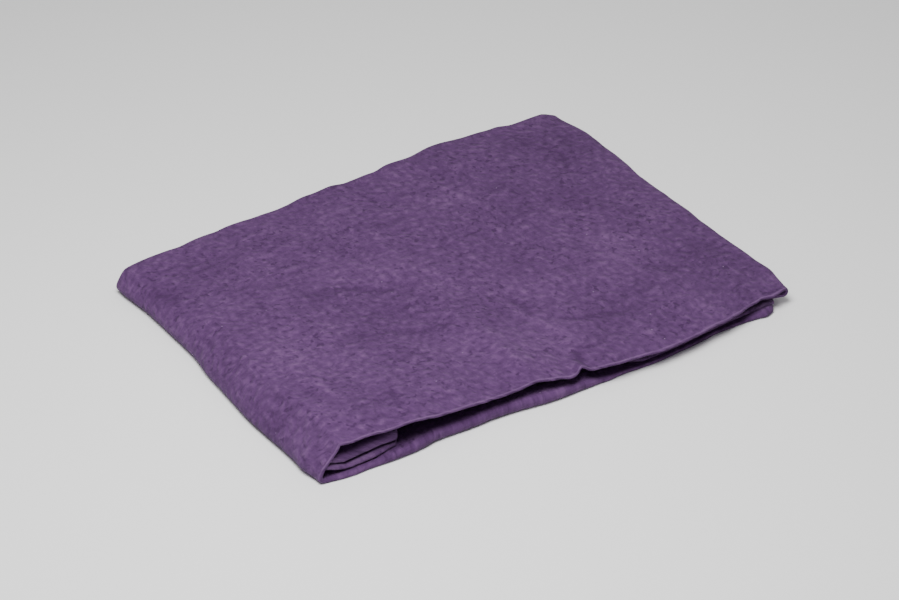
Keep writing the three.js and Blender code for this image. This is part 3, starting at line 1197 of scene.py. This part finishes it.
    def colour(self, shelf: Shelf, place: bpy.types.NodeSocket, crush: bpy.types.NodeSocket,
               fine: bpy.types.NodeSocket, weave: bpy.types.NodeSocket) -> bpy.types.NodeSocket:
        """The dye, uneven from the wash, with painted light and shade: lighter where the crumple and the
        threads stand high, darker in the crumple's creases and pits and in the top's crease troughs, lighter
        on the crease ridges, and a painted highlight along the folded edges.

        Args:
            shelf: Where the nodes go.
            place: The place on the flat cloth.
            crush: The soft crush.
            fine: The fine crush.
            weave: The height of the weave.

        Returns:
            The colour.
        """
        by_dye, by_crush, by_fine, by_weave = self.tone_shares
        broad = shelf.noise("uneven dye", place, self.dye_scale, 3.0, 0.55)
        # The tone follows the crumple's height: painted shade in the crush's creases and pits, painted light
        # on its high spots.
        tone = shelf.maths("ADD", "tone", shelf.maths("MULTIPLY", "dye taken up", broad, by_dye),
                           shelf.maths("MULTIPLY", "painted soft crush shading", crush, by_crush))
        tone = shelf.maths("ADD", "tone with painted crush shading", tone, shelf.maths("MULTIPLY", "painted fine crush shading", fine, by_fine))
        # Painted light on the high threads and slubs of the weave.
        tone = shelf.maths("MULTIPLY_ADD", "tone with threads", weave, by_weave, tone)
        # Painted shade in the top's crease troughs and painted light on their ridges, from the crease
        # heights.
        marks = shelf.node("ShaderNodeAttribute", "creases", attribute_name=CREASE_SHADE_ATTRIBUTE).outputs["Fac"]
        tone = shelf.maths("MULTIPLY_ADD", "painted crease shade and light", marks, self.painted_crease_shade, tone)
        ramp = shelf.node("ShaderNodeValToRGB", "dye")
        first, last = ramp.color_ramp.elements
        first.position, first.color = self.dye_stops[0], self.dark
        last.position, last.color = self.dye_stops[2], self.light
        ramp.color_ramp.elements.new(self.dye_stops[1]).color = self.middle
        shelf.feed(ramp, {"Fac": tone})
        # Painted highlight along the folded edges.
        fold_highlight = shelf.node("ShaderNodeMix", "painted highlight on folds", data_type="RGBA")
        shelf.feed(fold_highlight, {"Factor": self.painted_fold_highlight(shelf, place), "A": ramp.outputs["Color"], "B": self.fold_highlight})
        lint = shelf.feed(shelf.node("ShaderNodeTexVoronoi", "lint"),
                          {"Scale": self.lint_scale, "Vector": place})
        speck = shelf.spread("specks", lint.outputs["Distance"], *self.lint_size)
        rare = shelf.feed(shelf.node("ShaderNodeSeparateColor", "which specks"),
                          {"Color": lint.outputs["Color"]})
        shown = shelf.maths("GREATER_THAN", "few specks", rare.outputs[0], self.lint_left_out)
        blend = shelf.node("ShaderNodeMix", "lint on dye", data_type="RGBA")
        amount = shelf.maths("MULTIPLY", "where lint shows", speck, shown)
        shelf.feed(blend, {"Factor": amount, "A": fold_highlight.outputs["Result"], "B": self.fleck})
        return blend.outputs["Result"]


@dataclass(frozen=True)
class SewingThread:
    """Matt sewing thread, dyed to the cloth."""

    name: str = "sewing_thread"
    low: Colour = (0.07, 0.028, 0.095, 1.0)
    high: Colour = (0.13, 0.06, 0.16, 1.0)

    def material(self) -> bpy.types.Material:
        """Builds the material."""
        made = bpy.data.materials.new(self.name)
        made.use_nodes = True
        tree = made.node_tree
        shelf = Shelf(tree)
        shader = tree.nodes["Principled BSDF"]
        place = shelf.node("ShaderNodeTexCoord", "place").outputs["Object"]
        tone = shelf.node("ShaderNodeMix", "thread tone", data_type="RGBA")
        shelf.join(shelf.noise("twist", place, 1500.0, 1.0), tone.inputs["Factor"])
        tone.inputs["A"].default_value, tone.inputs["B"].default_value = self.low, self.high
        shelf.join(tone.outputs["Result"], shader.inputs["Base Color"])
        shader.inputs["Roughness"].default_value = 0.8
        shader.inputs["Specular IOR Level"].default_value = 0.2
        return made


@dataclass(frozen=True)
class PaleFloor:
    """The plain pale floor."""

    name: str = "pale_floor"
    colour: Colour = (0.9, 0.9, 0.9, 1.0)

    def material(self) -> bpy.types.Material:
        """Builds the material."""
        made = bpy.data.materials.new(self.name)
        made.use_nodes = True
        shader = made.node_tree.nodes["Principled BSDF"]
        shader.inputs["Base Color"].default_value = self.colour
        shader.inputs["Roughness"].default_value = 0.9
        shader.inputs["Specular IOR Level"].default_value = 0.1
        return made


# ---- The studio -----------------------------------------------------------------------------------


@dataclass(frozen=True)
class SoftLight:
    """A square soft light that looks at the cloth.

    Attributes:
        name: What the light is for.
        place: Where it stands, in metres.
        size: The length of its side, in metres.
        power: In watts.
    """

    name: str
    place: tuple[float, float, float]
    size: float
    power: float

    def build(self) -> None:
        """Sets the light up."""
        data = bpy.data.lights.new(self.name, "AREA")
        data.shape, data.size, data.energy = "SQUARE", self.size, self.power
        light = bpy.data.objects.new(self.name, data)
        light.location = self.place
        light.rotation_euler = (-Vector(self.place)).to_track_quat("-Z", "Y").to_euler()
        bpy.context.scene.collection.objects.link(light)


@dataclass
class Studio:
    """The floor, the lights and the camera."""

    floor_half: float = 4.0
    azimuth: float = -33.78
    elevation: float = 33.89
    distance: float = 1.68416
    target: tuple[float, float, float] = (-0.00731, -0.00853, 0.0)
    lens: float = 100.0
    film: float = 36.0
    surround: float = 0.24
    lights: tuple[SoftLight, ...] = (
        SoftLight("key", (-0.34, -0.28, 0.95), 0.5, 16.6),
        SoftLight("fill", (1.5, 0.4, 1.7), 1.8, 9.0),
    )

    def build(self) -> None:
        """Sets up the floor, the lights, the surround and the camera."""
        half = self.floor_half
        mesh = bpy.data.meshes.new("floor")
        mesh.from_pydata([(-half, -half, 0.0), (half, -half, 0.0), (half, half, 0.0), (-half, half, 0.0)], [],
                         [(0, 1, 2, 3)])
        mesh.materials.append(PaleFloor().material())
        floor = bpy.data.objects.new("floor", mesh)
        bpy.context.scene.collection.objects.link(floor)
        for light in self.lights:
            light.build()
        world = bpy.data.worlds.new("surround")
        world.use_nodes = True
        background = world.node_tree.nodes["Background"]
        background.inputs["Color"].default_value = (1.0, 1.0, 1.0, 1.0)
        background.inputs["Strength"].default_value = self.surround
        bpy.context.scene.world = world
        self.camera()

    def camera(self) -> None:
        """Stands the camera at its place."""
        data = bpy.data.cameras.new("camera")
        data.lens, data.sensor_width = self.lens, self.film
        camera = bpy.data.objects.new("camera", data)
        a, e = math.radians(self.azimuth), math.radians(self.elevation)
        back = Vector((math.sin(a) * math.cos(e), -math.cos(a) * math.cos(e), math.sin(e)))
        camera.location = Vector(self.target) + back * self.distance
        camera.rotation_euler = (-back).to_track_quat("-Z", "Y").to_euler()
        bpy.context.scene.collection.objects.link(camera)
        bpy.context.scene.camera = camera


def main() -> None:
    """Builds the cloth, dresses it and sets it in the studio."""
    logging.basicConfig(level=logging.INFO, format="%(name)s: %(message)s")
    tablecloth = Tablecloth()
    cloth, hem_line = tablecloth.build()
    stitches = HemStitches().build(hem_line, SewingThread())
    LOG.info("hem stitches: %d faces", len(stitches.data.polygons))
    tablecloth.dress(cloth, WashedLinen())
    LOG.info("folded linen: %d faces", len(cloth.data.polygons))
    Studio().build()
    LOG.info("studio set up")


if __name__ == "__main__":
    main()
